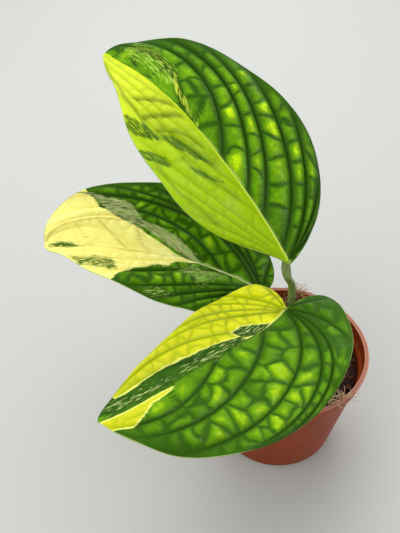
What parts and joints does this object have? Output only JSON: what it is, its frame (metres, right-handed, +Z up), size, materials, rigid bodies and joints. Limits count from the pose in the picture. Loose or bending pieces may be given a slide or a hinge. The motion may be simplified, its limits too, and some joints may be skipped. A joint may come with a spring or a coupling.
{
  "type": "potted monstera peru",
  "caption": "Young variegated monstera cutting: puckered heart-shaped leaves on upright petioles from a short stem, in potting mix in a round tapered nursery pot.",
  "frame": {"origin": "centre of the underside of the pot's base, on the surface that the pot stands on", "axes": "+Z up along the pot's axis; -Y is the front, over which the front leaf leans; +X is right as seen from the front"},
  "size_m": [0.1878, 0.205, 0.2137],
  "materials": {
    "pot_plastic": "satin moulded polypropylene, terracotta colour",
    "potting_mix": "moist crumbly peat and bark",
    "stem_green": "smooth satin plant skin",
    "leaf_top_blade": "glossy leathery leaf, green and chartreuse",
    "leaf_left_blade": "glossy leathery leaf, dark green with a cream sector",
    "leaf_front_blade": "glossy leathery leaf, green with a yellow half"
  },
  "bodies": {
    "root": {"pot": "pot_plastic", "soil": "potting_mix", "stem": "stem_green", "petiole_top": "stem_green", "petiole_left": "stem_green", "petiole_front": "stem_green", "leaf_top": "leaf_top_blade", "leaf_left": "leaf_left_blade", "leaf_front": "leaf_front_blade"}
  },
  "joints": []
}
